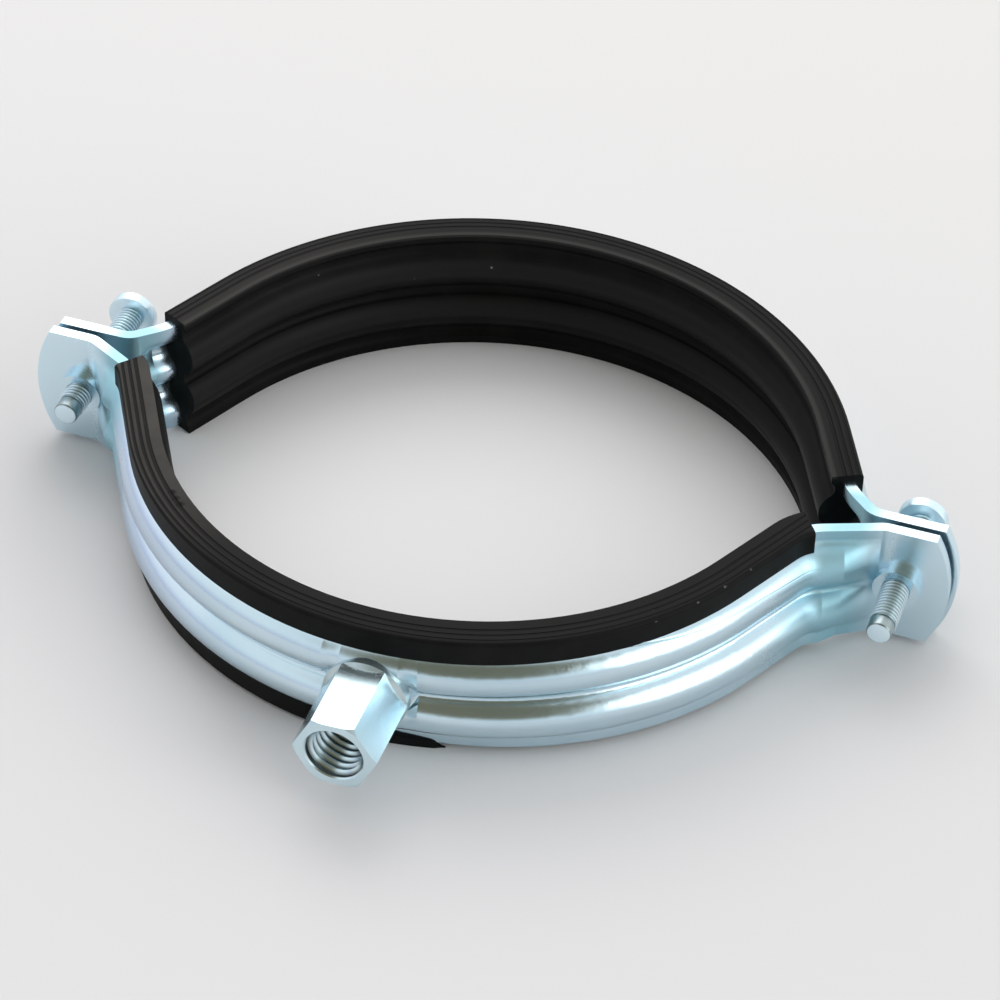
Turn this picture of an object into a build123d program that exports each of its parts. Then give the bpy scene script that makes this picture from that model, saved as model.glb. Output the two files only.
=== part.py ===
from build123d import *
import os
from math import cos, degrees, hypot, radians, sin, sqrt, tan

# Rubber lined pipe clamp: two pressed steel half bands with rubber linings, a welded threaded
# boss on the front half, and two clamping screws through the ears. Millimetres. The origin is
# on the pipe axis of the front seat, at mid width. +Z runs along the pipe, and the boss
# points to -Y.

# Strip steel of both bands
strip_thickness = 2.0
strip_width = 23.0

# Stiffening lobes pressed outwards along the band, with a groove between them
lobe_centre = 4.5
lobe_depth = 3.4
lobe_radius = 4.4
foot_fillet = 1.2
groove_fillet = 0.8

# Ears and the parting plane between the halves
parting_y = -4.7
ear_gap = 1.1
ear_centre_x = 2.0
screw_offset = 76.4
ear_tip_offset = 85.3
ear_corner_offset = 82.3
ear_bend_radius = 3.5
shoulder_radius = 10.0
lobe_runout = 6.5

# Front half: flange radius about the seat axis, with the bow a little to one side of the ears
front_flange_radius = 61.2
left_arc_end = 61.0
left_slant = 28.7
left_ear_bend = 74.0
right_arc_end = 63.0
right_slant = 21.7
right_ear_bend = 73.0

# The bottom edge of the right limb has sprung outwards, out of the lining's lower lip
right_lean = 3.2
lean_top = 8.0
lean_steps = 5

# Rear half: a slightly wider bow, which lies a little to the right of the front ears
rear_flange_radius = 64.2
rear_centre = (2.8, -11.0)
rear_arc_end = 65.0
rear_slant = 42.0
rear_ear_bend = 69.2
rear_seam_angle = 10.0

# Seat of the boss, where the groove is left out
boss_x = 2.0
seat_half_angle = 4.6
seat_blend_angle = 3.0

# Drawn collars of the front ears and clearance holes of the rear ears
collar_radius = 4.1
collar_height = 1.8
collar_bore_radius = 2.55
clearance_hole_radius = 3.6

# Rubber lining
liner_width = 25.6
lip_height = 4.5
lip_thickness = 1.6
lining_thickness = 2.1
rim_round = 0.8
rib_centre = 4.8
rib_half_width = 3.5
rib_height = 1.8
rib_land = 0.6
edge_groove_half_width = 1.5
edge_groove_depth = 0.8
middle_groove_depth = 1.0
liner_wrap_left = 20.0
liner_wrap_right = 27.0
rear_liner_wrap = 3.0
lip_slip_start = 9.0
lip_slip_end = -12.0
slipped_lip = 0.25
slipped_lip_height = 1.5

# Boss
boss_across_flats = 13.0
boss_face_y = -79.7
boss_turn = -2.3
boss_bore_radius = 5.0
boss_bore_depth = 15.0
boss_mouth_radius = 5.3
boss_chamfer_radius = 6.75
boss_chamfer_angle = 30.0
weld_radius = 7.4
weld_height = 0.9
boss_foot_depth = 1.5

# Screws
screw_radius = 2.5
screw_length = 30.0
screw_point = 0.5
head_radius = 4.5
head_height = 3.4
head_crown = 1.4
recess_width = 1.2
recess_span = 5.0
recess_depth = 2.0
right_tip_y = -20.5
left_tip_y = -15.2

half_width = strip_width / 2
liner_half = liner_width / 2
lobe_base = lobe_depth - lobe_radius


# Points of the pressed section

def lobe_points(shift):
    """Upper half of one face of the section: foot, lobe and groove points, top to middle.

    shift is 0 for the outer face and the strip thickness for the inner face.
    """
    lobe = lobe_radius - shift
    foot = foot_fillet + shift
    groove = groove_fillet + shift
    foot_v = lobe_centre + sqrt((lobe_radius + foot_fillet) ** 2 - (foot_fillet - lobe_base) ** 2)
    groove_u = lobe_base + sqrt((lobe_radius + groove_fillet) ** 2 - lobe_centre ** 2)
    to_lobe = hypot(lobe_base - foot_fillet, lobe_centre - foot_v)
    foot_dir = ((lobe_base - foot_fillet) / to_lobe, (lobe_centre - foot_v) / to_lobe)
    foot_mid = (foot_dir[0] - 1, foot_dir[1])
    foot_mid_length = hypot(*foot_mid)
    to_groove = hypot(lobe_base - groove_u, lobe_centre)
    groove_dir = ((lobe_base - groove_u) / to_groove, lobe_centre / to_groove)
    return {
        "edge": (-shift, half_width),
        "foot": (-shift, foot_v),
        "foot_mid": (
            foot_fillet + foot * foot_mid[0] / foot_mid_length,
            foot_v + foot * foot_mid[1] / foot_mid_length,
        ),
        "rise": (foot_fillet + foot * foot_dir[0], foot_v + foot * foot_dir[1]),
        "crest": (lobe_base + lobe, lobe_centre),
        "fall": (groove_u + groove * groove_dir[0], groove * groove_dir[1]),
        "bottom": (groove_u - groove, 0.0),
    }


def face_edges(shift, form, lean=0.0):
    """Edges of one face of the strip, from its top edge to its bottom edge.

    form is "lobed", "seat" (no groove) or "flat". lean carries the bottom edge outwards, and
    the rest in proportion, up to the foot of the upper lobe.
    """
    flat = form == "flat"
    points = {}
    for name, (u, v) in lobe_points(shift).items():
        points[name] = (-shift, v) if flat else (u, v)
    if form == "seat":
        points["fall"] = points["crest"]
        points["bottom"] = (points["crest"][0], 0.0)
        lobe = lobe_radius - shift
        rise = points["rise"]
        mid_u = (rise[0] + points["crest"][0]) / 2 - lobe_base
        mid_v = (rise[1] + lobe_centre) / 2 - lobe_centre
        reach = lobe / hypot(mid_u, mid_v)
        points["crest"] = (lobe_base + mid_u * reach, lobe_centre + mid_v * reach)

    def at(name, side=1):
        u, v = points[name][0], points[name][1] * side
        drop = max(0.0, lean_top - v) / (lean_top + half_width)
        return (u + lean * drop, v)

    def bow(start, middle, end, straight):
        return Line(start, end) if straight else ThreePointArc(start, middle, end)

    return [
        Line(at("edge"), at("foot")),
        bow(at("foot"), at("foot_mid"), at("rise"), flat),
        bow(at("rise"), at("crest"), at("fall"), flat),
        bow(at("fall"), at("bottom"), at("fall", -1), flat or form == "seat"),
        bow(at("fall", -1), at("crest", -1), at("rise", -1), flat),
        bow(at("rise", -1), at("foot_mid", -1), at("foot", -1), flat),
        Line(at("foot", -1), at("edge", -1)),
    ]


def strip_section(form, lean=0.0):
    """Section of the strip: x is the way out from its flange, y the way along the pipe."""
    outer = face_edges(0.0, form, lean)
    inner = face_edges(strip_thickness, form, lean)
    top = Line((0, half_width), (-strip_thickness, half_width))
    bottom = Line((lean, -half_width), (lean - strip_thickness, -half_width))
    return make_face(outer + [bottom] + inner + [top])


# Plan of one limb, from the middle of the bow to one ear

def limb_plan(centre_x, centre_y, flange, arc_end, slant, ear_bend):
    """Stations of the strip's middle line for a bow towards +Y and an ear at +X.

    The parting plane is y = 0 and the ears' own middle is x = 0.
    """
    middle = flange - strip_thickness / 2
    ear_y = ear_gap / 2 + strip_thickness / 2
    end = Vector(centre_x + middle * sin(radians(arc_end)), centre_y + middle * cos(radians(arc_end)))
    along = Vector(cos(radians(arc_end)), -sin(radians(arc_end)))
    slope = Vector(cos(radians(slant)), -sin(radians(slant)))
    bend = Vector(ear_bend, ear_y)
    gap = bend - end
    cross = along.X * slope.Y - along.Y * slope.X
    run = (gap.X * slope.Y - gap.Y * slope.X) / cross
    shoulder = end + along * run
    turn = arc_end - slant
    shoulder_reach = shoulder_radius * tan(radians(turn / 2))
    bend_reach = ear_bend_radius * tan(radians(slant / 2))
    return {
        "centre": (centre_x, centre_y),
        "middle": middle,
        "arc_end": arc_end,
        "slant": slant,
        "turn": turn,
        "run_start": end,
        "run_end": shoulder - along * shoulder_reach,
        "along": along,
        "shoulder_centre": shoulder - along * shoulder_reach + Vector(-along.Y, along.X) * shoulder_radius,
        "slope": slope,
        "slope_start": shoulder + slope * shoulder_reach,
        "slope_end": bend - slope * bend_reach,
        "bend_centre": bend - slope * bend_reach + Vector(-slope.Y, slope.X) * ear_bend_radius,
        "ear_start": bend + Vector(bend_reach, 0),
        "ear_y": ear_y,
    }


def station(point, out_angle):
    """Plane across the strip at a point of its middle line, x outwards at out_angle from +Y."""
    out = Vector(sin(radians(out_angle)), cos(radians(out_angle)), 0)
    origin = Vector(point.X, point.Y, 0) + out * (strip_thickness / 2)
    return Plane(origin=origin, x_dir=out, z_dir=out.cross(Vector(0, 0, 1)))


def turned(face, centre, angle):
    """Revolve a section about an upright axis, clockwise seen from above."""
    return revolve(face, Axis((centre[0], centre[1], 0), (0, 0, -1)), angle)


def station_at(plan, angle):
    """Plane across the strip at an angle from the middle of the bow."""
    out = Vector(sin(radians(angle)), cos(radians(angle)))
    return station(Vector(*plan["centre"]) + out * plan["middle"], angle)


def arc_piece(section, plan, start, end):
    """The section swept about the bow's centre between two angles from the middle of the bow."""
    return turned(station_at(plan, start) * section, plan["centre"], end - start)


def run_piece(section, plan, start, end, out_angle):
    """The section pushed straight from one point to another."""
    way = Vector(end.X - start.X, end.Y - start.Y, 0)
    return extrude(station(start, out_angle) * section, amount=way.length, dir=way.normalized())


def shoulder_piece(section, plan, angle):
    """The section bent outwards at the shoulder, where the band turns to its ear."""
    face = station(plan["run_end"], plan["arc_end"]) * section
    centre = plan["shoulder_centre"]
    return revolve(face, Axis((centre.X, centre.Y, 0), (0, 0, 1)), angle)


def leaning_arc(plan, start, lean):
    """The lobed section along the bow, with its bottom edge leaning outwards more and more."""
    sections = []
    for step in range(lean_steps + 1):
        part = step / lean_steps
        angle = start + (plan["arc_end"] - start) * part
        sections.append(station_at(plan, angle) * strip_section("lobed", lean * part))
    return loft(sections)


def strip_limb(plan, arc_start, lean=0.0):
    """One limb of the strip: bow, shoulder, runout of the lobes and bend to the ear."""
    lobed = strip_section("lobed", lean)
    flat = strip_section("flat")
    slope_length = (plan["slope_end"] - plan["slope_start"]).length
    fade = plan["slope_end"] - plan["slope"] * min(lobe_runout, slope_length - 0.5)
    if lean:
        limb = leaning_arc(plan, arc_start, lean)
    else:
        limb = arc_piece(lobed, plan, arc_start, plan["arc_end"])
    limb += run_piece(lobed, plan, plan["run_start"], plan["run_end"], plan["arc_end"])
    limb += shoulder_piece(lobed, plan, plan["turn"])
    lobed_start = station(plan["slope_start"], plan["slant"]) * lobed
    lobed_end = station(fade, plan["slant"]) * strip_section("lobed", lean * 0.4)
    flat_end = station(plan["slope_end"], plan["slant"]) * flat
    limb += loft([lobed_start, lobed_end], ruled=True)
    limb += loft([lobed_end, flat_end], ruled=True)
    bend_centre = plan["bend_centre"]
    limb += revolve(flat_end, Axis((bend_centre.X, bend_centre.Y, 0), (0, 0, 1)), plan["slant"])
    return limb


def ear_plate(plan):
    """Flat ear with a shallow arc for its outer end."""
    start = plan["ear_start"].X
    outline = [
        Line((start, half_width), (ear_corner_offset, half_width)),
        ThreePointArc((ear_corner_offset, half_width), (ear_tip_offset, 0), (ear_corner_offset, -half_width)),
        Line((ear_corner_offset, -half_width), (start, -half_width)),
        Line((start, -half_width), (start, half_width)),
    ]
    back = plan["ear_y"] + strip_thickness / 2
    plane = Plane(origin=(0, back, 0), x_dir=(1, 0, 0), z_dir=(0, -1, 0))
    return extrude(plane * make_face(outline), amount=strip_thickness)


def ear_bore(radius, reach):
    """Round tool through an ear, along the screw."""
    plane = Plane(origin=(screw_offset, 0, 0), x_dir=(1, 0, 0), z_dir=(0, 1, 0))
    return extrude(plane * Circle(radius), amount=reach, both=True)


# Section of the rubber lining

def rib_edges(side):
    """Inner face of the lining from its edge to its middle, for the upper or lower half."""
    face_u = -strip_thickness - lining_thickness
    crest_u = face_u - rib_height
    outer_v = rib_centre + rib_half_width
    inner_v = rib_centre - rib_half_width
    groove_top = outer_v + 2 * edge_groove_half_width
    rise = rib_half_width - rib_land
    bulge = 0.72
    points = [
        (face_u, liner_half),
        (face_u, groove_top),
        (face_u + edge_groove_depth, outer_v + edge_groove_half_width),
        (face_u, outer_v),
        (face_u - rib_height * bulge, rib_centre + rib_land + rise * 0.52),
        (crest_u, rib_centre + rib_land),
        (crest_u, rib_centre - rib_land),
        (face_u - rib_height * bulge, rib_centre - rib_land - rise * 0.52),
        (face_u, inner_v),
        (face_u + middle_groove_depth, 0.0),
    ]
    points = [(u, v * side) for u, v in points]
    edges = [
        Line(points[0], points[1]),
        ThreePointArc(points[1], points[2], points[3]),
        ThreePointArc(points[3], points[4], points[5]),
        Line(points[5], points[6]),
        ThreePointArc(points[6], points[7], points[8]),
    ]
    return edges, points[8], points[9]


def liner_section():
    """Lining with both outer lips, before the strip is taken out of it."""
    upper, upper_end, groove = rib_edges(1)
    lower, lower_end, _ = rib_edges(-1)
    lip_v = liner_half - lip_height
    inside = -strip_thickness / 2
    top = [
        Line((-strip_thickness - lining_thickness, liner_half), (lip_thickness - rim_round, liner_half)),
        ThreePointArc(
            (lip_thickness - rim_round, liner_half),
            (lip_thickness - rim_round * 0.29, liner_half - rim_round * 0.29),
            (lip_thickness, liner_half - rim_round),
        ),
        Line((lip_thickness, liner_half - rim_round), (lip_thickness, lip_v)),
        Line((lip_thickness, lip_v), (inside, lip_v)),
    ]
    back = [Line((inside, lip_v), (inside, 0))]
    mirrored = [mirror(edge, Plane.XZ) for edge in top + back]
    middle = ThreePointArc(upper_end, groove, lower_end)
    outline = make_face(upper + lower + [middle] + top + back + mirrored)
    behind = make_face(face_edges(strip_thickness / 2, "lobed") + [
        Line((inside, half_width), (inside - lining_thickness, half_width)),
        Line((inside - lining_thickness, half_width), (inside - lining_thickness, -half_width)),
        Line((inside - lining_thickness, -half_width), (inside, -half_width)),
    ])
    return outline + behind


def lower_lip_section(thickness, height):
    """The lip round the strip's bottom edge: thickness outwards from the flange, height up it."""
    low = -liner_half
    lip_v = low + height
    edge_v = -half_width
    return make_face([
        Line((0, edge_v), (0, lip_v)),
        Line((0, lip_v), (thickness, lip_v)),
        Line((thickness, lip_v), (thickness, low + thickness / 2)),
        Line((thickness, low + thickness / 2), (thickness / 2, low)),
        Line((thickness / 2, low), (-strip_thickness, low)),
        Line((-strip_thickness, low), (-strip_thickness, edge_v)),
        Line((-strip_thickness, edge_v), (0, edge_v)),
    ])


def trimmed_liner_section(lower_lip):
    """Lining as it grips the strip, with or without its lower outer lip."""
    section = liner_section() - strip_section("lobed")
    if not lower_lip:
        reach = 2 * lip_thickness + strip_thickness
        middle = reach / 2 - strip_thickness
        section = section - Pos(middle, -liner_half) * Rectangle(reach, 2 * (lip_height + 1))
    return section


# Bands and linings

def left_plan():
    """Limb to the left ear of the front half, turned so that its bow faces +Y and the ear +X."""
    return limb_plan(ear_centre_x, parting_y, front_flange_radius, left_arc_end,
                     left_slant, left_ear_bend)


def right_plan():
    """Limb to the right ear, turned and mirrored so that it runs the same way as the left."""
    return limb_plan(-ear_centre_x, parting_y, front_flange_radius, right_arc_end,
                     right_slant, right_ear_bend)


def rear_plan():
    """Limb plan of the rear half, the same for both sides."""
    return limb_plan(0.0, rear_centre[1] - parting_y, rear_flange_radius, rear_arc_end,
                     rear_slant, rear_ear_bend)


def place_front(shape):
    """Turn a half that bows towards +Y so that it bows towards -Y, and put it in place."""
    return Pos(ear_centre_x, parting_y, 0) * Rot(0, 0, 180) * shape


def place_rear(shape):
    """Put a half that bows towards +Y in place."""
    return Pos(rear_centre[0], parting_y, 0) * shape


def front_band():
    """Front strip with its boss seat, ears and drawn collars."""
    left = left_plan()
    right = right_plan()
    boss_angle = -degrees(boss_x / front_flange_radius)
    seat_start = boss_angle - seat_half_angle
    seat_end = boss_angle + seat_half_angle
    lobed = strip_section("lobed")
    seat = strip_section("seat")
    band = arc_piece(seat, left, seat_start, seat_end)
    for near, far in ((seat_start, seat_start - seat_blend_angle), (seat_end, seat_end + seat_blend_angle)):
        band += loft([station_at(left, near) * seat, station_at(left, far) * lobed], ruled=True)
    band += strip_limb(left, seat_end + seat_blend_angle)
    band += mirror(strip_limb(right, seat_blend_angle - seat_start, right_lean), Plane.YZ)
    collar_plane = Plane(origin=(screw_offset, left["ear_y"], 0), x_dir=(1, 0, 0), z_dir=(0, 1, 0))
    collar = extrude(collar_plane * Circle(collar_radius), amount=strip_thickness / 2 + collar_height)
    bore = ear_bore(collar_bore_radius, 20)
    band += ear_plate(left) + collar
    band += mirror(ear_plate(right) + collar, Plane.YZ)
    band -= bore
    band -= mirror(bore, Plane.YZ)
    return place_front(band)


def rear_band():
    """Rear strip with its plain ears."""
    plan = rear_plan()
    bore = ear_bore(clearance_hole_radius, 20)
    band = strip_limb(plan, -rear_seam_angle)
    band += mirror(strip_limb(plan, rear_seam_angle), Plane.YZ)
    band += ear_plate(plan)
    band += mirror(ear_plate(plan), Plane.YZ)
    band -= bore
    band -= mirror(bore, Plane.YZ)
    return place_rear(band)


def liner_limb(section, plan, start, end, wrap=0.0):
    """One limb of lining along the bow and its straight run, and round part of the shoulder."""
    limb = arc_piece(section, plan, start, plan["arc_end"])
    limb += run_piece(section, plan, plan["run_start"], end, plan["arc_end"])
    if wrap:
        limb += shoulder_piece(section, plan, wrap)
    return limb


def front_lining():
    """Front lining, whose lower lip has slipped off the strip from the boss to the right ear."""
    left = left_plan()
    right = right_plan()
    bare = trimmed_liner_section(False)
    full_lip = lower_lip_section(lip_thickness, lip_height)
    lining = liner_limb(bare, left, 0.0, left["run_end"], liner_wrap_left)
    lining += mirror(liner_limb(bare, right, 0.0, right["run_end"], liner_wrap_right), Plane.YZ)
    lining += liner_limb(full_lip, left, lip_slip_start, left["run_end"], liner_wrap_left)
    slip_start = station_at(left, lip_slip_start) * full_lip
    slip_end = station_at(left, lip_slip_end) * lower_lip_section(slipped_lip, slipped_lip_height)
    lining += loft([slip_start, slip_end], ruled=True)
    return place_front(lining)


def rear_lining():
    """Rear lining with both lips over the strip's edges."""
    plan = rear_plan()
    section = trimmed_liner_section(True)
    end = plan["run_end"]
    lining = liner_limb(section, plan, -rear_seam_angle, end, rear_liner_wrap)
    lining += mirror(liner_limb(section, plan, rear_seam_angle, end, rear_liner_wrap), Plane.YZ)
    return place_rear(lining)


# Boss and screws

def boss(band):
    """Hexagonal boss with chamfered ends and a round weld at its foot, seated on the band."""
    depth = -boss_face_y - front_flange_radius - lobe_depth + boss_foot_depth
    plane = Plane(origin=(boss_x, boss_face_y, 0), x_dir=(1, 0, 0), z_dir=(0, 1, 0))
    hexagon = RegularPolygon(boss_across_flats / 2, 6, major_radius=False, rotation=boss_turn)
    body = extrude(plane * hexagon, amount=depth)
    slope = tan(radians(boss_chamfer_angle))
    reach = boss_across_flats
    cone_length = reach / slope
    grip = depth - boss_foot_depth
    outline = Polyline(
        (0, 0), (boss_chamfer_radius, 0),
        (boss_across_flats, (boss_across_flats - boss_chamfer_radius) * slope),
        (boss_across_flats, grip - (boss_across_flats - boss_chamfer_radius) * slope),
        (boss_chamfer_radius, grip), (boss_chamfer_radius, depth), (0, depth),
        close=True,
    )
    turn_plane = Plane(origin=(boss_x, boss_face_y, 0), x_dir=(1, 0, 0), z_dir=(0, 0, 1))
    envelope = revolve(turn_plane * make_face(outline), Axis((boss_x, 0, 0), (0, 1, 0)), 360)
    body = body & envelope
    weld = Polyline(
        (0, grip - weld_height), (boss_across_flats / 2, grip - weld_height),
        (weld_radius, grip - weld_height * 0.35), (weld_radius, depth), (0, depth),
        close=True,
    )
    body += revolve(turn_plane * make_face(weld), Axis((boss_x, 0, 0), (0, 1, 0)), 360)
    body -= extrude(plane * Circle(boss_bore_radius), amount=boss_bore_depth)
    mouth = boss_mouth_radius - boss_bore_radius
    body -= extrude(plane * Circle(boss_mouth_radius), amount=mouth, taper=45)
    return body - band


def screw(side):
    """Pan head screw with a plain shank at the size of its thread and a cross recess."""
    tip_y = right_tip_y if side > 0 else left_tip_y
    under = screw_length
    dome_radius = (head_radius ** 2 + head_crown ** 2) / (2 * head_crown)
    outline = [
        Line((0, 0), (screw_radius - screw_point, 0)),
        Line((screw_radius - screw_point, 0), (screw_radius, screw_point)),
        Line((screw_radius, screw_point), (screw_radius, under)),
        Line((screw_radius, under), (head_radius, under)),
        Line((head_radius, under), (head_radius, under + head_height - head_crown)),
        ThreePointArc(
            (head_radius, under + head_height - head_crown),
            (head_radius / 2, under + head_height - dome_radius + sqrt(dome_radius ** 2 - head_radius ** 2 / 4)),
            (0, under + head_height),
        ),
        Line((0, under + head_height), (0, 0)),
    ]
    x = ear_centre_x + side * screw_offset
    plane = Plane(origin=(x, tip_y, 0), x_dir=(1, 0, 0), z_dir=(0, 0, 1))
    body = revolve(plane * make_face(outline), Axis((x, 0, 0), (0, 1, 0)), 360)
    top = Plane(origin=(x, tip_y + under + head_height, 0), x_dir=(1, 0, 0), z_dir=(0, -1, 0))
    for size in ((recess_span, recess_width), (recess_width, recess_span)):
        body -= extrude(top * Rectangle(*size), amount=recess_depth)
    return body


os.makedirs("parts", exist_ok=True)
front_strap = front_band()
nodes = {
    "front_strap": front_strap,
    "rear_strap": rear_band(),
    "front_liner": front_lining(),
    "rear_liner": rear_lining(),
    "boss_nut": boss(front_strap),
    "left_screw": screw(-1),
    "right_screw": screw(1),
}
for name, shape in nodes.items():
    export_step(shape, f"parts/{name}.step")
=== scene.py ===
# %% [markdown]
# # A rubber lined pipe clamp
# The clamp is two pressed steel half bands with rubber linings, a threaded boss welded to the
# front half, and two machine screws that draw the ears together. Its solids come in first, as a
# frame that is never moved. The lesson then gives them their finishes and adds the small things
# that solids are poor at: screw threads, the turns inside the boss, smooth rims, and the fine
# lines of rubber.

# %% Load the frame
import bpy
from math import cos, radians, sin, tau
from mathutils import Matrix, Vector


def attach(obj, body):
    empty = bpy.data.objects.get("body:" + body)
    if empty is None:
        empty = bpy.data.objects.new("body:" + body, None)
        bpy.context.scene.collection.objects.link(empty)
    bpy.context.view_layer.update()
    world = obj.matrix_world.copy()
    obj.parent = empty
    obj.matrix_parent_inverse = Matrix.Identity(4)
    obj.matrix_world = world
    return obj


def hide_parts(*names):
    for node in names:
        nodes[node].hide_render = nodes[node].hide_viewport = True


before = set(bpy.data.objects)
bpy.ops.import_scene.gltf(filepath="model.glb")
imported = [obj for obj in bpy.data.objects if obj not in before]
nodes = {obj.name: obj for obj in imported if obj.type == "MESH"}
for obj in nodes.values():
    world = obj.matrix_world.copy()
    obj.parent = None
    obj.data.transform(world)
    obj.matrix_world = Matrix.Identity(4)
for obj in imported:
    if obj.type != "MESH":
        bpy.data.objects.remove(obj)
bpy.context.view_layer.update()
MM = 0.001
print("nodes", sorted(nodes))

# %% [markdown]
# ## Shader maths in plain sums
# A pattern is easier to read as a sum than as a net of wires. One small class wraps a socket so
# that adding, subtracting and multiplying write Math nodes, and one method adds every other node.

# %% Wires
class Wire:
    """A node output that can be used in sums."""

    def __init__(self, net, socket):
        self.net = net
        self.socket = socket

    def math(self, operation, *others):
        inputs = {0: self}
        for index, other in enumerate(others):
            inputs[index + 1] = other
        return self.net.add("Math", {"operation": operation}, inputs)

    def __add__(self, other):
        return self.math("ADD", other)

    __radd__ = __add__

    def __sub__(self, other):
        return self.math("SUBTRACT", other)

    def __rsub__(self, other):
        return self.net.add("Math", {"operation": "SUBTRACT"}, {0: other, 1: self})

    def __mul__(self, other):
        return self.math("MULTIPLY", other)

    __rmul__ = __mul__

    def step(self, low, high):
        """0 below low and 1 above high, with a smooth rise between them."""
        settings = {"interpolation_type": "SMOOTHSTEP"}
        return self.net.add("MapRange", settings, {0: self, 1: low, 2: high, 3: 0.0, 4: 1.0})


# %% [markdown]
# ## A net of nodes
# Blender builds a material from nodes that are joined by hand. The same few are needed over and
# over: a mix of two colours, a noise, the distance to a spot, the parts of a place. Each is a
# method here, so that a finish further down reads as a list of what it does.

# %% Net
class Net:
    """The node tree of one material or world."""

    def __init__(self, tree):
        self.tree = tree
        tree.nodes.clear()

    def add(self, kind, settings=None, inputs=None, out=0):
        """Add a node, set it up, fill its sockets, and give back one of its outputs."""
        node = self.tree.nodes.new("ShaderNode" + kind)
        for key, value in (settings or {}).items():
            setattr(node, key, value)
        for key, value in (inputs or {}).items():
            if isinstance(value, Wire):
                self.tree.links.new(value.socket, node.inputs[key])
            else:
                node.inputs[key].default_value = value
        return Wire(self, node.outputs[out]) if node.outputs else None

    def mix(self, factor, first, second):
        """Mix two colours."""
        first = first if isinstance(first, Wire) else (*first, 1.0)
        second = second if isinstance(second, Wire) else (*second, 1.0)
        settings = {"data_type": "RGBA"}
        return self.add("Mix", settings, {0: factor, 6: first, 7: second}, out=2)

    def noise(self, place, scale, detail, rough):
        """Smooth random values at so many lumps per metre."""
        inputs = {"Vector": place, "Scale": scale, "Detail": detail, "Roughness": rough}
        return self.add("TexNoise", {}, inputs)

    def noise_vector(self, place, scale):
        """A random vector round nothing, the same at the same place."""
        cloud = self.add("TexNoise", {}, {"Vector": place, "Scale": scale}, out=1)
        return self.add("VectorMath", {"operation": "SUBTRACT"}, {0: cloud, 1: (0.5, 0.5, 0.5)})

    def distance(self, place, spot):
        """How far a place is from a fixed spot, in millimetres."""
        settings = {"operation": "DISTANCE"}
        return self.add("VectorMath", settings, {0: place, 1: spot}, out=1) * 1000.0

    def parts(self, vector):
        """The x, y and z of a vector."""
        x = self.add("SeparateXYZ", {}, {0: vector})
        node = x.socket.node
        return x, Wire(self, node.outputs[1]), Wire(self, node.outputs[2])


# %% [markdown]
# ## Materials on objects
# The solids arrive with their own slots. A finish goes into each object's slot and not into the
# mesh, so that the mesh stays as the frame made it.

# %% New material, and paint
def new_material(name):
    """An empty material and its net."""
    material = bpy.data.materials.new(name)
    material.use_nodes = True
    return material, Net(material.node_tree)


def finish_material(net, shader):
    """Join a shader to the output."""
    net.add("OutputMaterial", {}, {0: shader})


def paint(obj, material):
    """Put one material on a whole object."""
    if not obj.material_slots:
        obj.data.materials.append(material)
    for slot in obj.material_slots:
        slot.link = "OBJECT"
        slot.material = material
    print("painted", obj.name, "with", material.name)


# %% [markdown]
# ## Camera
# The photograph was taken from a little to the right of the boss and from about forty degrees
# above, with a long lens. The camera stands there, so that every edge falls where the
# photograph has it.

# %% Camera
azimuth, height, roll = radians(17.93), radians(40.95), radians(1.61)
CAMERA_DISTANCE = 0.66552
SIDE_SHIFT, DOWN_SHIFT = 0.00276, 0.00481
AIM = Vector((0.00195, -0.003932, 0.0))
FILM_WIDTH, FOCAL_LENGTH = 36.0, 134.74
back = Vector((sin(azimuth) * cos(height), -cos(azimuth) * cos(height), sin(height)))
right = Vector((cos(azimuth), sin(azimuth), 0.0))
up = back.cross(right)
eye = back * CAMERA_DISTANCE + right * SIDE_SHIFT - up * DOWN_SHIFT + AIM
right, up = right * cos(roll) + up * sin(roll), up * cos(roll) - right * sin(roll)
camera_data = bpy.data.cameras.new("camera")
camera_data.sensor_width = FILM_WIDTH
camera_data.lens = FOCAL_LENGTH
camera_data.clip_end = 20.0
camera = bpy.data.objects.new("camera", camera_data)
camera.matrix_world = Matrix.Translation(eye) @ Matrix((right, up, back)).transposed().to_4x4()
bpy.context.scene.collection.objects.link(camera)
bpy.context.scene.camera = camera
print("camera at", [round(value, 4) for value in eye])

# %% [markdown]
# ## Light
# Bright plating has hardly a colour of its own: it shows what stands round it. So the sky has what
# stood round the clamp: a pale room, a bright window in front on the right, dusk low on the left,
# and the brown-grey shape of whoever held the camera, which gives the streaks along the lobes.
# The world's own direction is split into parts, so that each of these is one short sum.

# %% Sky
FAR_WALL, NEAR_WALL = (1.0, 1.0, 0.99), (0.80, 0.835, 0.85)
DUSK = (0.50, 0.51, 0.66)
PHOTOGRAPHER = (0.17, 0.15, 0.10)
WINDOW = (2.6, 2.7, 2.7)
SKY_STRENGTH = 1.13
scene = bpy.context.scene
scene.view_settings.view_transform = "Standard"
world = bpy.data.worlds.new("studio")
scene.world = world
world.use_nodes = True
sky = Net(world.node_tree)
sky_x, sky_y, sky_z = sky.parts(sky.add("TexCoord", {}, {}, out=0))
toward = sky_x * 0.31 - sky_y * 0.95
aside = sky_x * 0.95 + sky_y * 0.31
wall = sky.mix(toward.step(-0.4, 0.2), FAR_WALL, NEAR_WALL)
dusk = (aside * -1.0).step(0.3, 0.85) * (1.0 - sky_z.step(-0.1, 0.4))
wall = sky.mix(dusk * 0.9, wall, DUSK)
near_camera = toward * 0.75 + sky_z * 0.65 - aside * 0.02
sky_colour = sky.mix(near_camera.step(0.76, 0.90), wall, PHOTOGRAPHER)
near_window = toward * 0.47 + aside * 0.81 + sky_z * 0.35
sky_colour = sky.mix(near_window.step(0.86, 0.98), sky_colour, WINDOW)
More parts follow.
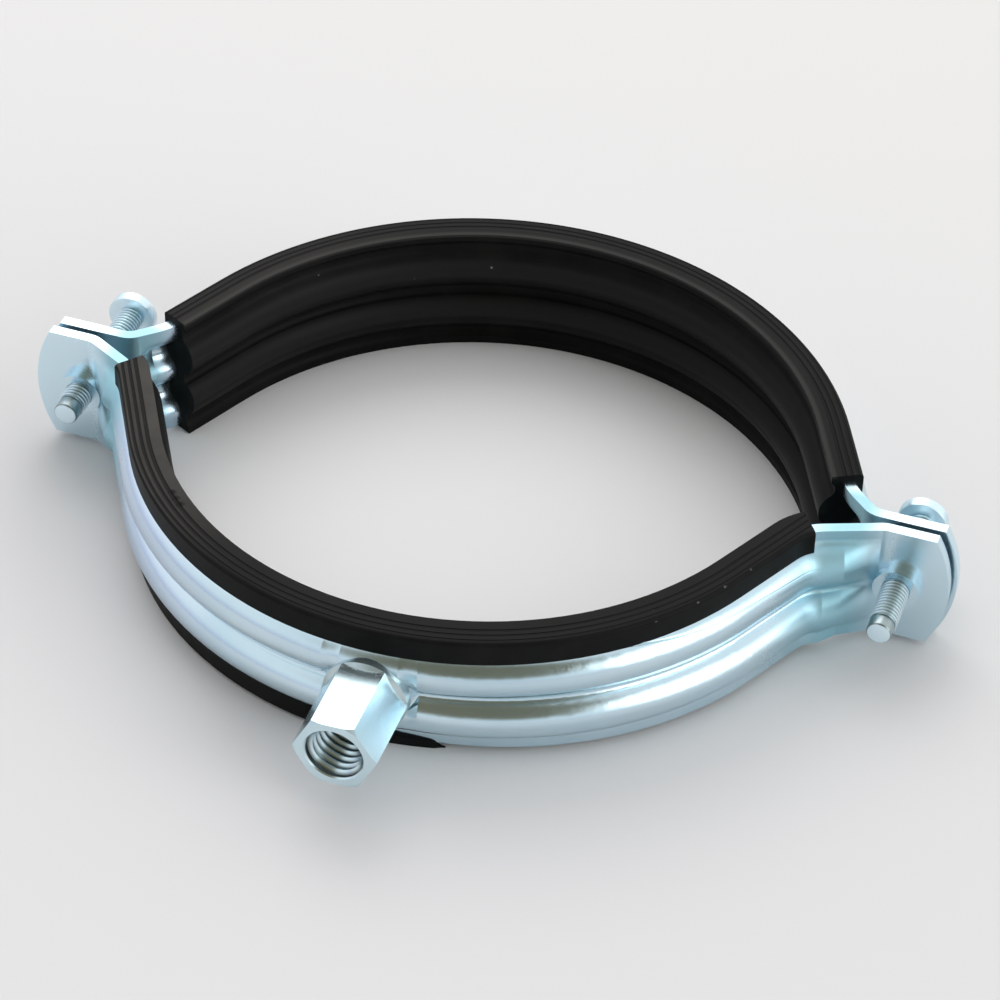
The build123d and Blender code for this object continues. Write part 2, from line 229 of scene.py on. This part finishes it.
background = sky.add("Background", {}, {0: sky_colour, 1: SKY_STRENGTH})
sky.add("OutputWorld", {}, {0: background})
print("sky nodes", len(world.node_tree.nodes))

# %% [markdown]
# ## One broad lamp
# The clamp's shadow is soft and short and falls towards the camera, a little to the right. One
# wide lamp, high up behind the clamp on the left, gives that. It could be a sun, but a sun's
# shadow has a harder edge.

# %% Lamp
LAMP_PLACE = Vector((-0.45, 0.75, 1.0))
LAMP_SIZE, LAMP_POWER = 0.9, 4.5
lamp_data = bpy.data.lights.new("broad_lamp", "AREA")
lamp_data.shape = "SQUARE"
lamp_data.size = LAMP_SIZE
lamp_data.energy = LAMP_POWER
lamp_data.color = (1.0, 0.995, 0.985)
lamp = bpy.data.objects.new("broad_lamp", lamp_data)
lamp.location = LAMP_PLACE
lamp.rotation_euler = LAMP_PLACE.to_track_quat("Z", "Y").to_euler()
scene.collection.objects.link(lamp)
print("lamp", LAMP_POWER, "W at", list(LAMP_PLACE))

# %% [markdown]
# ## Floor
# The clamp lies on pale card that fades a little to the back. A plane just under the lining's
# lower edge catches the shadow, and its tone follows the distance from the middle: inside the ring
# the card is painted lighter, as painted light that eases the clamp's shadow.

# %% Floor plane
FLOOR_SIZE, FLOOR_LEVEL = 6.0, -0.01285
FLOOR_FRONT, FLOOR_BACK = (0.722, 0.708, 0.721), (0.745, 0.731, 0.724)
FLOOR_INSIDE_PAINTED_LIGHT, FLOOR_FAR = (0.815, 0.805, 0.812), (0.50, 0.55, 0.62)
bpy.ops.object.select_all(action="DESELECT")
bpy.ops.mesh.primitive_plane_add(size=FLOOR_SIZE, location=(0.0, 0.0, FLOOR_LEVEL))
floor = bpy.context.object
floor.name = "floor"
bpy.ops.object.transform_apply(location=True, rotation=True, scale=True)
floor_material, net = new_material("pale_floor")
place = net.add("TexCoord", {}, {}, out=3)
floor_x, floor_y, _ = net.parts(place)
fade = (floor_y + 0.12 + floor_x * 0.15).step(0.0, 0.45)
floor_colour = net.mix(fade, FLOOR_FRONT, FLOOR_BACK)
floor_reach = (floor_x * floor_x + floor_y * floor_y).math("SQRT")
# Painted light on the floor inside the ring.
floor_colour = net.mix(floor_reach.step(0.045, 0.085), FLOOR_INSIDE_PAINTED_LIGHT, floor_colour)
floor_colour = net.mix((floor_reach - 0.5).step(0.0, 0.4), floor_colour, FLOOR_FAR)
finish_material(net, net.add("BsdfDiffuse", {}, {0: floor_colour}))
paint(floor, floor_material)

# %% [markdown]
# ## Bright zinc
# Both bands are sheet steel that was plated after pressing. Close up the plating is a fine crystal
# grain that sparkles where a reflection turns dark, with soft bluish clouds. The front half's
# bends to the ears are matt and carry a painted teal shade, and a fine pressed line runs along the
# right limb with painted shade in it. Both are masks: sums that are 1 where the change is and 0
# elsewhere.

# %% Masks for the plating
EARS_MIDDLE = 2.0 * MM
CREASE_START, CREASE_LEVEL, CREASE_FALL = 46.2, 7.85, 0.095


def bend_mask(outwards, y):
    """The front half's bends, by millimetres outwards from the ears' middle."""
    bend = outwards.step(57.0, 66.0) * (1.0 - outwards.step(68.5, 76.0))
    return bend * (y - 2.5 * MM).math("MULTIPLY", -1.0).step(0.0, 3.0 * MM)


def crease_mask(rightwards, y, z):
    """The pressed line, which falls a little to the right."""
    level = CREASE_LEVEL - (rightwards - CREASE_START) * CREASE_FALL
    crease = 1.0 - (z * 1000.0 - level).math("ABSOLUTE").step(0.05, 0.16)
    crease = crease * rightwards.step(38.0, 44.0) * (1.0 - rightwards.step(62.0, 67.0))
    return crease * (y * -1.0).step(0.008, 0.012)


print("masks", bend_mask.__name__, crease_mask.__name__)

# %% [markdown]
# ## Zinc plating
# Grain goes into the bump and the roughness, and clouds into the colour. The ears are painted a
# paler blue, as painted light, and the left of the band is painted violet, as painted shade for
# the shadowed floor it reflects. On the limbs and ears the grain is weaker, because a bump on the
# long thin faces that the solids have there comes out as blotches.

# %% Plating
BEND_PAINTED_SHADE, EAR_PAINTED_LIGHT, VIOLET_PAINTED_SHADE = (0.30, 0.56, 0.65), (0.71, 0.89, 0.98), (0.50, 0.58, 0.77)
CREASE_SHADE = (0.28, 0.50, 0.58)


def zinc_material(name, tint, shade, roughness, grain):
    """Bright plating with clouds and a crystal grain."""
    material, net = new_material(name)
    place = net.add("TexCoord", {}, {}, out=3)
    clouds = net.noise(place, 45.0, 3.0, 0.55)
    crystals = net.add("TexVoronoi", {"feature": "F1"}, {"Vector": place, "Scale": 2600.0}, out=1)
    _, crystal_y, crystal_z = net.parts(crystals)
    fine = net.noise(place, 1500.0, 2.0, 0.6)
    colour = net.mix(clouds.step(0.35, 0.7), tint, shade)
    x, y, z = net.parts(place)
    outwards = (x - EARS_MIDDLE).math("ABSOLUTE") * 1000.0
    bend = bend_mask(outwards, y)
    # Painted teal shade in the bends to the ears.
    colour = net.mix(bend * 0.8, colour, BEND_PAINTED_SHADE)
    # The ears are painted a paler blue, as painted light.
    colour = net.mix(outwards.step(68.5, 75.0) * 0.8, colour, EAR_PAINTED_LIGHT)
    # The left of the band is painted a darker violet, as painted shade.
    violet = (x * -1000.0).step(22.0, 48.0) * (1.0 - outwards.step(60.0, 66.0))
    colour = net.mix(violet * 0.5, colour, VIOLET_PAINTED_SHADE)
    crease = crease_mask(x * 1000.0, y, z)
    # Painted shade in the pressed line.
    colour = net.mix(crease * 0.45, colour, CREASE_SHADE)
    softer = outwards.step(36.0, 54.0) * 0.04
    rough = clouds * 0.05 + crystal_y * 0.04 + roughness + bend * 0.26 + softer
    pressed = net.add("Bump", {}, {
        "Strength": 0.6,
        "Distance": 0.06 * MM,
        "Height": crease * -1.0,
    })
    bump = net.add("Bump", {}, {
        "Strength": 0.09,
        "Distance": grain * MM,
        "Height": (crystal_z * 0.6 + fine) * (1.0 - outwards.step(34.0, 46.0) * 0.85),
        "Normal": pressed,
    })
    return material, net, colour, rough, bump


def finish_plating(net, colour, rough, bump):
    """Bare metal with a colour, a roughness and a bump, joined to the output."""
    finish_material(net, net.add("BsdfPrincipled", {}, {
        "Base Color": colour,
        "Metallic": 1.0,
        "Roughness": rough,
        "Normal": bump,
    }))


zinc_band, *band_parts = zinc_material(
    "zinc_band", (0.63, 0.775, 0.85), (0.56, 0.72, 0.81), 0.16, 0.02)
finish_plating(*band_parts)
for name in ("front_strap", "rear_strap"):
    paint(nodes[name], zinc_band)

# %% [markdown]
# ## Screw plating
# The screws have the same plating, a little duller. The shade in the roots of their threads is
# painted on. The roots are all at one distance from the screw's axis, so a dark ring of painted
# shade at that distance finds every one of them, without a picture of a thread.

# %% Zinc of the screws
SCREW_OFFSET = 76.4 * MM
ROOT_SHADE = (0.16, 0.19, 0.18)
zinc_screw, net, colour, rough, bump = zinc_material(
    "zinc_screw", (0.72, 0.79, 0.80), (0.64, 0.72, 0.75), 0.24, 0.015)
x, _, z = net.parts(net.add("TexCoord", {}, {}, out=3))
from_axis = (x - EARS_MIDDLE).math("ABSOLUTE") - SCREW_OFFSET
radius = (from_axis * from_axis + z * z).math("SQRT") * 1000.0
root = radius.step(1.95, 2.1) * (1.0 - radius.step(2.12, 2.45))
# Painted shade in the roots of the thread.
colour = net.mix(root * 0.85, colour, ROOT_SHADE)
finish_plating(net, colour, rough, bump)
print("plating", zinc_band.name, zinc_screw.name)

# %% [markdown]
# ## Boss finish
# The boss was welded on before plating. The weld leaves a rough ring at its foot and a brown
# scorch that the thin plating doesn't hide, so both follow the distance from the foot. The roots
# of its inside thread are painted dark, as painted shade, at their distance from the bore's axis.

# %% Boss plating
FOOT_PLACE, SCORCH_PLACE = 0.0662, 0.0672
SCORCH_BROWN, BORE_SHADE = (0.30, 0.25, 0.17), (0.10, 0.11, 0.10)
zinc_boss, net, colour, rough, bump = zinc_material(
    "zinc_boss", (0.69, 0.85, 0.91), (0.62, 0.79, 0.86), 0.19, 0.015)
place = net.add("TexCoord", {}, {}, out=3)
boss_x, boss_y, boss_z = net.parts(place)
ripple = net.noise(place, 900.0, 3.0, 0.6)
foot = (boss_y + FOOT_PLACE + (ripple - 0.5) * 0.0012).step(0.0, 0.0012)
scorch = (boss_y + SCORCH_PLACE + (ripple - 0.5) * 0.003).step(0.0, 0.0022) * 0.3
colour = net.mix(scorch, colour, SCORCH_BROWN)
rough = rough + foot * 0.1
off_axis = boss_x - EARS_MIDDLE
radius = (off_axis * off_axis + boss_z * boss_z).math("SQRT") * 1000.0
root = radius.step(4.45, 4.95) * (1.0 - radius.step(5.02, 5.12))
# Painted shade in the bore and the roots of its thread.
colour = net.mix(root * 0.85, colour, BORE_SHADE)
weld = net.add("Bump", {}, {
    "Strength": 0.5,
    "Distance": 0.15 * MM,
    "Height": ripple * foot,
    "Normal": bump,
})
finish_plating(net, colour, rough, weld)
paint(nodes["boss_nut"], zinc_boss)

# %% [markdown]
# ## Rubber lining
# The lining is extruded rubber. Its end faces and edge are matt, with moulding lines that run
# along the whole strip, so the pattern follows the distance from the middle of the bow: the same
# on the round part and on the straight run that leaves it.

# %% Lines and ribs of the lining
MOULDING_LINES = ((2.35, 0.42), (3.55, 0.36), (4.75, 0.34))


def across_lining(net, x, y, edge_radius, end_low, end_high):
    """Millimetres outwards from the lining's inner edge."""
    angle = x.math("ARCTAN2", y)
    angle = net.add("Clamp", {}, {0: angle, 1: radians(end_low), 2: radians(end_high)})
    reach = x * angle.math("SINE") + y * angle.math("COSINE")
    return (reach - edge_radius) * 1000.0


def line_mask(across):
    """The moulding lines, each with a place and a width in millimetres."""
    lines = None
    for spot, width in MOULDING_LINES:
        line = 1.0 - (across - spot).math("ABSOLUTE").step(width * 0.4, width)
        lines = line if lines is None else lines.math("MAXIMUM", line)
    return lines


def rib_mask(height, across):
    """Where the two ribs that grip the pipe get their painted sheen."""
    upper_rib = height.step(3.6, 4.8) * (1.0 - height.step(7.0, 8.2))
    lower_rib = height.step(-5.6, -4.6) * (1.0 - height.step(-2.0, -1.0))
    return (upper_rib + lower_rib) * (1.0 - across.step(-1.5, 0.5))


print("moulding lines", len(MOULDING_LINES))

# %% [markdown]
# ## Wear
# Handling has left a few specks of dust on the front lining and some nicks in its edge. Each is
# a small spot at a fixed place, and its outline is ragged because the place is shaken by a noise
# before the distance is taken.

# %% Spots
def spotted(net, ragged, colour, spots, edge, strength, tone):
    """A colour with small spots, whose tone fades out between the two distances of edge."""
    for spot in spots:
        near = 1.0 - net.distance(ragged, spot).step(*edge)
        colour = net.mix(near * strength, colour, tone)
    return colour


def millimetres(*points):
    """Places written in millimetres, in metres."""
    return [tuple(value * MM for value in point) for point in points]


dust_specks = millimetres((56.6, -26.3, 12.8), (53.8, -31.7, 12.75), (50.6, -36.9, 12.6),
                          (45.4, -43.5, 12.1))
old_nicks = millimetres((-41.9, -41.7, 12.8), (-40.7, -43.0, 12.8), (-39.4, -44.1, 12.8))
print("specks", len(dust_specks), "nicks", len(old_nicks))

# %% [markdown]
# ## Rubber
# Black rubber is never one black. The ribs and the rear lining's inner edge get a painted sheen,
# the top is painted greyer than the sides as painted sheen, and the top at the left end of the
# front lining is paler. Each of these is a mix over the last, from the plainest to the finest, and
# the lines are pressed in by a bump and painted dark as painted shade.

# %% Rubber
RUBBER_DARK, RUBBER_LIGHT = (0.005, 0.0052, 0.005), (0.009, 0.009, 0.0085)
RIB_PAINTED_SHEEN = (0.0135, 0.0140, 0.0135)
TOP_PAINTED_SHEEN = (0.0075, 0.0075, 0.007)
INNER_EDGE_PAINTED_HIGHLIGHT = (0.028, 0.028, 0.026)
PALE_END_GREY = (0.062, 0.057, 0.053)
BAND_BLACK, LINE_PAINTED_SHADE = (0.006, 0.006, 0.006), (0.002, 0.002, 0.002)
DUST, SPECK, NICK = (0.35, 0.35, 0.34), (0.25, 0.25, 0.24), (0.001, 0.001, 0.001)
TOP_LEVEL = 0.01262


def rubber_material(name, centre, edge_radius, end_low, end_high, side, pale_top_share,
                    specks_at=(), nicks_at=()):
    """Black rubber with lines that keep their distance from the lining's inner edge."""
    material, net = new_material(name)
    place = net.add("TexCoord", {}, {}, out=3)
    x, y, z = net.parts(place)
    x = x - centre[0]
    y = (y - centre[1]) * side
    across = across_lining(net, x, y, edge_radius, end_low, end_high)
    top = (z.math("ABSOLUTE") - TOP_LEVEL).step(0.0, 0.00008)
    lines = line_mask(across) * top
    grain = net.noise(place, 2500.0, 3.0, 0.6)
    smears = net.noise(place, 120.0, 3.0, 0.6)
    height = z * 1000.0
    band = across.step(2.3, 2.5) * (1.0 - across.step(4.7, 4.9)) * top
    colour = net.mix(smears.step(0.35, 0.75), RUBBER_DARK, RUBBER_LIGHT)
    # Painted sheen on the ribs.
    colour = net.mix(rib_mask(height, across), colour, RIB_PAINTED_SHEEN)
    # Painted sheen on the top.
    colour = net.mix(top * 0.8, colour, TOP_PAINTED_SHEEN)
    # The rear lining's inner edge gets a painted highlight.
    if side > 0:
        inner_edge_highlight = height.step(12.1, 12.5) * (1.0 - across.step(0.5, 1.2))
        colour = net.mix(inner_edge_highlight, colour, INNER_EDGE_PAINTED_HIGHLIGHT)
    # The top is painted paler towards the left end.
    pale_top = top * (x * -1.0 - 0.022).step(0.0, 0.032) * pale_top_share
    colour = net.mix(pale_top * (smears.step(0.2, 0.7) * 0.4 + 0.6), colour, PALE_END_GREY)
    colour = net.mix(band * 0.35, colour, BAND_BLACK)
    # Painted shade in the moulding lines.
    colour = net.mix(lines * 0.9, colour, LINE_PAINTED_SHADE)
    specks = net.add("TexVoronoi", {"feature": "F1"}, {"Vector": place, "Scale": 160.0}, out=0)
    dust = (1.0 - specks.step(0.02, 0.05)) * (smears - 0.56).step(0.0, 0.06)
    colour = net.mix(dust * 0.5, colour, DUST)
    wander = net.noise_vector(place, 1800.0)
    wander = net.add("VectorMath", {"operation": "SCALE"}, {0: wander, 3: 0.7 * MM})
    ragged = net.add("VectorMath", {"operation": "ADD"}, {0: place, 1: wander})
    colour = spotted(net, ragged, colour, specks_at, (0.1, 0.35), 0.45, SPECK)
    colour = spotted(net, ragged, colour, nicks_at, (0.3, 1.1), 0.9, NICK)
    rough = smears * 0.12 + 0.42
    relief = grain * 0.03 - lines
    bump = net.add("Bump", {}, {"Strength": 0.8, "Distance": 0.4 * MM, "Height": relief})
    shader = net.add("BsdfPrincipled", {}, {
        "Base Color": colour,
        "Roughness": rough,
        "Specular IOR Level": 0.075,
        "Normal": bump,
    })
    finish_material(net, shader)
    return material


front_rubber = rubber_material(
    "front_rubber", (0.0, 0.0), 0.0571, -61.0, 63.0, -1.0, 1.0, dust_specks, old_nicks)
paint(nodes["front_liner"], front_rubber)
rear_rubber = rubber_material("rear_rubber", (0.0028, -0.011), 0.0601, -65.0, 65.0, 1.0, 0.25)
paint(nodes["rear_liner"], rear_rubber)

# %% [markdown]
# ## Modelling by hand
# The next pieces start as primitives that are shaped in edit mode, and their modifiers are
# applied. A few small helpers do what every piece needs: choose one object, move its place into
# its mesh, close it and turn its faces outwards, and join parts into one.

# %% Helpers for modelling
def deselect():
    """Leave edit mode with nothing selected."""
    if bpy.context.mode != "OBJECT":
        bpy.ops.object.mode_set(mode="OBJECT")
    bpy.ops.object.select_all(action="DESELECT")


def use(obj):
    """Make one object the selected and active one."""
    deselect()
    obj.select_set(True)
    bpy.context.view_layer.objects.active = obj
    return obj


def apply_modifiers(obj):
    """Apply every modifier, from the top."""
    use(obj)
    for modifier in list(obj.modifiers):
        bpy.ops.object.modifier_apply(modifier=modifier.name)


def apply_place(obj):
    """Move the object's place into its mesh."""
    use(obj)
    bpy.ops.object.transform_apply(location=True, rotation=True, scale=True)


def fix_normals(obj):
    """Merge doubles and turn all faces outwards."""
    use(obj)
    bpy.ops.object.mode_set(mode="EDIT")
    bpy.ops.mesh.select_all(action="SELECT")
    bpy.ops.mesh.remove_doubles(threshold=1e-6)
    bpy.ops.mesh.normals_make_consistent(inside=False)
    bpy.ops.object.mode_set(mode="OBJECT")


def join(objects, name):
    """Join several objects into the first."""
    deselect()
    for obj in objects:
        obj.select_set(True)
    bpy.context.view_layer.objects.active = objects[0]
    bpy.ops.object.join()
    objects[0].name = name
    return objects[0]


# %% [markdown]
# ## Thread of a screw
# Each screw is a machine screw with a fine thread. By hand, a thread is one tooth drawn in
# profile and carried round the axis while it climbs by its pitch. The Screw modifier does this,
# and a cut square across each end makes the ends flat. A picture of a thread in the material
# would look flat along the screw's outline.

# %% Thread
def thread_tooth(name, points):
    """An open or closed profile of straight edges, shaped from a row of a primitive grid."""
    deselect()
    bpy.ops.mesh.primitive_grid_add(x_subdivisions=len(points) - 1, y_subdivisions=1, size=1.0)
    obj = bpy.context.object
    obj.name = name
    bpy.ops.object.mode_set(mode="EDIT")
    bpy.ops.mesh.select_all(action="DESELECT")
    bpy.ops.object.mode_set(mode="OBJECT")
    for vertex in obj.data.vertices:
        vertex.select = vertex.co.y > 0.25
    bpy.ops.object.mode_set(mode="EDIT")
    bpy.ops.mesh.select_mode(type="VERT")
    bpy.ops.mesh.delete(type="VERT")
    bpy.ops.object.mode_set(mode="OBJECT")
    row = sorted(obj.data.vertices, key=lambda vertex: vertex.co.x)
    for vertex, (radius, height) in zip(row, points):
        vertex.co = (radius, 0.0, height)
    return obj


def wind(obj, pitch, turns, steps):
    """Carry a profile round Z while it climbs."""
    modifier = obj.modifiers.new("wind", "SCREW")
    modifier.axis = "Z"
    modifier.screw_offset = pitch
    modifier.iterations = turns
    modifier.steps = steps
    modifier.render_steps = steps
    modifier.use_merge_vertices = True
    modifier.merge_threshold = 1e-6
    apply_modifiers(obj)
    return obj


def cut_flat(obj, height, keep_above):
    """Cut square across Z at a height and close the cut with a face."""
    use(obj)
    bpy.ops.object.mode_set(mode="EDIT")
    bpy.ops.mesh.select_all(action="SELECT")
    bpy.ops.mesh.bisect(plane_co=(0.0, 0.0, height), plane_no=(0.0, 0.0, 1.0), use_fill=False,
                        clear_inner=keep_above, clear_outer=not keep_above)
    bpy.ops.mesh.select_all(action="SELECT")
    bpy.ops.mesh.remove_doubles(threshold=1e-6)
    bpy.ops.mesh.fill_holes(sides=0)
    bpy.ops.object.mode_set(mode="OBJECT")


SCREW_PITCH = 0.8 * MM
SCREW_LENGTH = 30.0 * MM
SCREW_RADIUS = 2.5 * MM
ROOT = SCREW_RADIUS - 0.42 * MM
CREST = SCREW_RADIUS - 0.01 * MM
FIRST_CUT = 0.9 * MM
tooth = [
    (ROOT, 0.0),
    (ROOT, 0.1 * MM),
    (CREST, 0.35 * MM),
    (CREST, 0.45 * MM),
    (ROOT, 0.7 * MM),
    (ROOT, SCREW_PITCH),
]
thread = wind(thread_tooth("thread", tooth), SCREW_PITCH, 40, 28)
cut_flat(thread, FIRST_CUT, True)
cut_flat(thread, FIRST_CUT + SCREW_LENGTH, False)
fix_normals(thread)
thread.location = (0.0, 0.0, -FIRST_CUT)
apply_place(thread)
print("thread faces", len(thread.data.polygons))

# %% [markdown]
# ## Plain point of the screw
# The last few millimetres have no thread, so that the screw finds its hole. The thread is cut
# off there and a short cylinder with a rounded rim takes its place.

# %% Point
POINT_LENGTH = 2.6 * MM
POINT_RADIUS = SCREW_RADIUS - 0.28 * MM
cut_flat(thread, POINT_LENGTH, True)
fix_normals(thread)
deselect()
bpy.ops.mesh.primitive_cylinder_add(vertices=56, radius=POINT_RADIUS, depth=4.0 * MM,
                                    location=(0.0, 0.0, 2.0 * MM))
point = bpy.context.object
apply_place(point)
bevel = point.modifiers.new("rim", "BEVEL")
bevel.width = 0.45 * MM
bevel.segments = 3
bevel.limit_method = "ANGLE"
apply_modifiers(point)
thread = join([thread, point], "thread")
print("thread with its point, faces", len(thread.data.polygons))

# %% [markdown]
# ## Screw head
# The head is a pan: a short drum whose top is domed and whose rim is rounded, with a cross
# recess. The dome comes from insetting the top face four times and lifting each inner ring, and
# the recess is cut with two crossed blocks.

# %% Head
HEAD_RADIUS = 4.5 * MM
DRUM_HEIGHT = 2.0 * MM
DOME_RINGS = ((0.35, 0.35), (0.7, 0.45), (1.0, 0.33), (1.2, 0.2))
deselect()
bpy.ops.mesh.primitive_cylinder_add(vertices=56, radius=HEAD_RADIUS, depth=DRUM_HEIGHT,
                                    location=(0.0, 0.0, SCREW_LENGTH + DRUM_HEIGHT / 2))
head = bpy.context.object
apply_place(head)
bpy.ops.object.mode_set(mode="EDIT")
bpy.ops.mesh.select_mode(type="FACE")
bpy.ops.mesh.select_all(action="DESELECT")
bpy.ops.object.mode_set(mode="OBJECT")
for face in head.data.polygons:
    face.select = face.normal.z > 0.9
bpy.ops.object.mode_set(mode="EDIT")
for inset, lift in DOME_RINGS:
    bpy.ops.mesh.inset(thickness=inset * MM, depth=0.0)
    bpy.ops.transform.translate(value=(0.0, 0.0, lift * MM))
bpy.ops.object.mode_set(mode="OBJECT")
bevel = head.modifiers.new("rim", "BEVEL")
bevel.width = 0.25 * MM
bevel.segments = 2
bevel.limit_method = "ANGLE"
bevel.angle_limit = radians(50)
apply_modifiers(head)
SLOT_LENGTH, SLOT_WIDTH = 5.0 * MM, 1.2 * MM
cutters = []
for long, wide in ((SLOT_LENGTH, SLOT_WIDTH), (SLOT_WIDTH, SLOT_LENGTH)):
    deselect()
    bpy.ops.mesh.primitive_cube_add(size=1.0, location=(0.0, 0.0, SCREW_LENGTH + 2.9 * MM))
    cutter = bpy.context.object
    cutter.scale = (long, wide, 3.0 * MM)
    apply_place(cutter)
    cutters.append(cutter)
for cutter in cutters:
    cut = head.modifiers.new("recess", "BOOLEAN")
    cut.operation = "DIFFERENCE"
    cut.solver = "EXACT"
    cut.object = cutter
apply_modifiers(head)
for cutter in cutters:
    bpy.data.objects.remove(cutter)
fix_normals(head)
print("head faces", len(head.data.polygons))

# %% [markdown]
# ## The slipped lip
# Left of the boss the lower lip of the front lining shows below the strip. Right of the boss it
# goes in under the strip's leaning edge, and what is seen of it is a tail: it starts as the full
# lip, thins out and ends in a point. The tail is a bar of many short steps, so that its width
# and its height can fall along a curve.

# %% Tail of the slipped lip
FLANGE = 61.15 * MM
LIP_FOOT = -12.79 * MM
TAIL_START, TAIL_END = radians(-7.0), radians(13.6)
TAIL_STEPS = 36
POINT_SHARE = 0.09
deselect()
bpy.ops.mesh.primitive_grid_add(x_subdivisions=TAIL_STEPS, y_subdivisions=2, size=1.0)
tail = bpy.context.object
tail.name = "slipped_lip_tail"
bpy.ops.object.mode_set(mode="EDIT")
bpy.ops.mesh.select_all(action="SELECT")
bpy.ops.mesh.extrude_region_move(TRANSFORM_OT_translate={"value": (0.0, 0.0, 1.0)})
bpy.ops.object.mode_set(mode="OBJECT")
for vertex in tail.data.vertices:
    along, out, high = vertex.co.x + 0.5, vertex.co.y + 0.5, vertex.co.z
    left = 1.0 - along
    end = min(1.0, left / POINT_SHARE)
    angle = TAIL_START + along * (TAIL_END - TAIL_START)
    reach = FLANGE + out * (0.42 + 0.9 * left ** 1.3) * max(end, 0.25) * MM
    level = LIP_FOOT + high * (1.55 + 1.7 * left ** 1.4) * max(end, 0.2) * MM
    vertex.co = (reach * sin(angle), -reach * cos(angle), level)
fix_normals(tail)
use(tail)
bpy.ops.object.shade_smooth_by_angle(angle=radians(35))
paint(tail, front_rubber)
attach(tail, "front_half")
print("tail faces", len(tail.data.polygons))

# %% [markdown]
# ## Smooth rims
# The outer top edge of each lining is rounded. Seen against the light floor its facets would
# show, so a round bead with many more steps lies along the same edge.

# %% Rims of the linings
RIM_ROUND = 0.795 * MM
RIM_LEVEL = 12.0 * MM
RIM_STEPS, ROUND_STEPS = 260, 20


def rim_bead(name, centre, radius, half_angle, side, body, material):
    """A tube along the bow, level with the top of the lining."""
    deselect()
    bpy.ops.mesh.primitive_grid_add(x_subdivisions=RIM_STEPS, y_subdivisions=ROUND_STEPS, size=1.0)
    bead = bpy.context.object
    bead.name = name
    for vertex in bead.data.vertices:
        angle = radians(2.0 * half_angle * vertex.co.x)
        around = tau * vertex.co.y
        reach = radius + RIM_ROUND * cos(around)
        level = RIM_LEVEL + RIM_ROUND * sin(around)
        vertex.co = (centre[0] + reach * sin(angle), centre[1] + side * reach * cos(angle), level)
    fix_normals(bead)
    use(bead)
    bpy.ops.object.mode_set(mode="EDIT")
    bpy.ops.mesh.select_all(action="SELECT")
    bpy.ops.mesh.fill_holes(sides=0)
    bpy.ops.mesh.normals_make_consistent(inside=False)
    bpy.ops.object.mode_set(mode="OBJECT")
    bpy.ops.object.shade_smooth_by_angle(angle=radians(35))
    paint(bead, material)
    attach(bead, body)
    print(name, "faces", len(bead.data.polygons))


rim_bead("rear_rim", (2.8 * MM, -11.0 * MM), 65.0 * MM, 64.5, 1.0, "rear_half", rear_rubber)
rim_bead("front_rim", (0.0, 0.0), 62.0 * MM, 60.5, -1.0, "front_half", front_rubber)

# %% [markdown]
# ## Both screws in their places
# Thread and head become one piece, which is copied to each side. The right screw is turned in
# further than the left, so its point stands out more. Each copy rides on its own screw's body.

# %% Place both screws
SCREW_POINTS = {
    "left": (-74.4 * MM, -15.2 * MM, 0.0),
    "right": (78.4 * MM, -20.5 * MM, 0.0),
}
screw_piece = join([thread, head], "screw_master")
use(screw_piece)
bpy.ops.object.shade_smooth_by_angle(angle=radians(40))
for name, place in SCREW_POINTS.items():
    copy = screw_piece.copy()
    copy.data = screw_piece.data.copy()
    copy.name = name + "_threaded_screw"
    scene.collection.objects.link(copy)
    copy.rotation_euler = (radians(-90), 0.0, 0.0)
    copy.location = place
    apply_place(copy)
    paint(copy, zinc_screw)
    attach(copy, "screw_" + name)
    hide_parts(name + "_screw")
    print(copy.name, "triangles about", 2 * len(copy.data.polygons))
bpy.data.objects.remove(screw_piece)

# %% [markdown]
# ## Thread inside the boss
# The boss takes a threaded rod. Its turns are ridges on the inside wall, so the profile is a
# closed ridge with a narrow top and its base just under the wall, wound up the bore.

# %% Inside thread
BOSS_PITCH = 1.5 * MM
BASE, TOP = 5.03 * MM, 4.30 * MM
ridge = [
    (BASE, 0.0),
    (TOP, 0.58 * MM),
    (TOP, 0.82 * MM),
    (BASE, 1.40 * MM),
]
inside = thread_tooth("inside_thread", ridge)
use(inside)
bpy.ops.object.mode_set(mode="EDIT")
bpy.ops.mesh.select_all(action="SELECT")
bpy.ops.mesh.edge_face_add()
bpy.ops.mesh.delete(type="ONLY_FACE")
bpy.ops.object.mode_set(mode="OBJECT")
wind(inside, BOSS_PITCH, 9, 56)
use(inside)
bpy.ops.object.mode_set(mode="EDIT")
bpy.ops.mesh.select_all(action="DESELECT")
bpy.ops.mesh.select_non_manifold()
bpy.ops.mesh.edge_face_add()
bpy.ops.object.mode_set(mode="OBJECT")
fix_normals(inside)
inside.rotation_euler = (radians(-90), 0.0, 0.0)
inside.location = (2.0 * MM, -79.3 * MM, 0.0)
apply_place(inside)
use(inside)
bpy.ops.object.shade_smooth_by_angle(angle=radians(35))
paint(inside, zinc_boss)
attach(inside, "front_half")
print("inside thread faces", len(inside.data.polygons))
